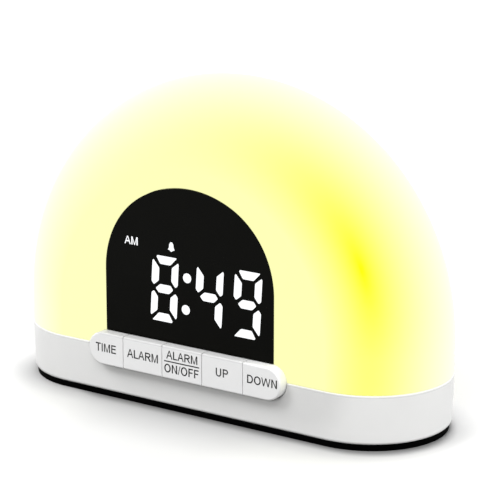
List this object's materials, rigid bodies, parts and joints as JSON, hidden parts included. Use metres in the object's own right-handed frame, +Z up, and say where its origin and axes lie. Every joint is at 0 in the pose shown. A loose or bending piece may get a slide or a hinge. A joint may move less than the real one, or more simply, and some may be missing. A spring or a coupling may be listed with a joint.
{
  "type": "sunrise alarm clock",
  "caption": "Half-disc lamp dome on a stadium-shaped base, with an arched dark display window and a bar of push keys that straddles the seam.",
  "frame": {"origin": "middle of the sole's underside, on the surface that the clock stands on", "axes": "+Z up, -Y towards the display and the keys, +X to the right seen from the front"},
  "size_m": [0.16, 0.0583, 0.1095],
  "materials": {
    "dome_diffuser": "milky translucent, satin, lit from inside",
    "window_black": "smoked, glossy",
    "display_lit": "milky, lit from behind",
    "case_white": "fine satin",
    "key_white": "fine satin",
    "key_print": "printed",
    "sole_black": "matt",
    "inner_white": "satin",
    "inner_black": "satin",
    "circuit_board": "lacquered",
    "lamp_board_white": "lacquered",
    "socket_cream": "satin",
    "led_lens": "clear over phosphor",
    "tinned_metal": "bright",
    "contact_metal": "bright",
    "zinc_steel": "zinc plated",
    "magnet_grey": "plated",
    "capacitor_blue": "sleeve",
    "wire_red": "sleeved",
    "wire_black": "sleeved",
    "wire_blue": "sleeved",
    "wire_yellow": "sleeved"
  },
  "bodies": {
    "case": {"dome": "dome_diffuser", "display_window": "window_black", "base_shell": "case_white", "sole": "sole_black", "bottom_cover": "case_white", "deck": "inner_white", "display_shroud": "inner_white", "display_housing": "inner_black", "segment_diffusers": "display_lit", "display_leds": "led_lens", "display_pins": "tinned_metal", "main_board": "circuit_board", "main_chip": "inner_black", "crystal": "tinned_metal", "capacitors": "capacitor_blue", "board_headers": "socket_cream", "key_frame": "inner_white", "switch_housings": "inner_black", "switch_discs": "contact_metal", "lamp_board": "lamp_board_white", "lamp_leds": "led_lens", "lamp_socket": "socket_cream", "power_board": "circuit_board", "usb_shell": "tinned_metal", "usb_tongue": "inner_black", "power_socket": "socket_cream", "speaker_frame": "inner_black", "speaker_cone": "inner_black", "speaker_magnet": "magnet_grey", "coin_cell": "tinned_metal", "cell_holder": "inner_black", "cell_spring": "contact_metal", "cell_side_contact": "contact_metal", "lamp_wires": "wire_red", "power_wires": "wire_black", "speaker_wires": "wire_blue", "battery_wires": "wire_yellow", "cover_screws": "zinc_steel", "deck_screws": "zinc_steel", "shroud_screws": "zinc_steel", "lamp_screws": "zinc_steel", "board_screws": "zinc_steel", "frame_screws": "zinc_steel", "power_screws": "zinc_steel"},
    "time_key": {"key_time": "key_white", "stem_time": "inner_black"},
    "alarm_key": {"key_alarm": "key_white", "stem_alarm": "inner_black"},
    "alarm_on_off_key": {"key_alarm_on_off": "key_white", "stem_alarm_on_off": "inner_black"},
    "up_key": {"key_up": "key_white", "stem_up": "inner_black"},
    "down_key": {"key_down": "key_white", "stem_down": "inner_black"},
    "battery_door": {"battery_door": "case_white"}
  },
  "joints": [
    {"name": "time_key_press", "type": "slide", "parent": "case", "child": "time_key", "axis": [0, 1, 0], "range_m": [0, 0.0006], "stiffness_N_per_m": 2500},
    {"name": "alarm_key_press", "type": "slide", "parent": "case", "child": "alarm_key", "axis": [0, 1, 0], "range_m": [0, 0.0006], "stiffness_N_per_m": 2500},
    {"name": "alarm_on_off_key_press", "type": "slide", "parent": "case", "child": "alarm_on_off_key", "axis": [0, 1, 0], "range_m": [0, 0.0006], "stiffness_N_per_m": 2500},
    {"name": "up_key_press", "type": "slide", "parent": "case", "child": "up_key", "axis": [0, 1, 0], "range_m": [0, 0.0006], "stiffness_N_per_m": 2500},
    {"name": "down_key_press", "type": "slide", "parent": "case", "child": "down_key", "axis": [0, 1, 0], "range_m": [0, 0.0006], "stiffness_N_per_m": 2500},
    {"name": "battery_door_turn", "type": "hinge", "parent": "case", "child": "battery_door", "pos_m": [-0.036, 0.004, 0.003], "axis": [0, 0, 1], "range_deg": [0, 45]}
  ]
}
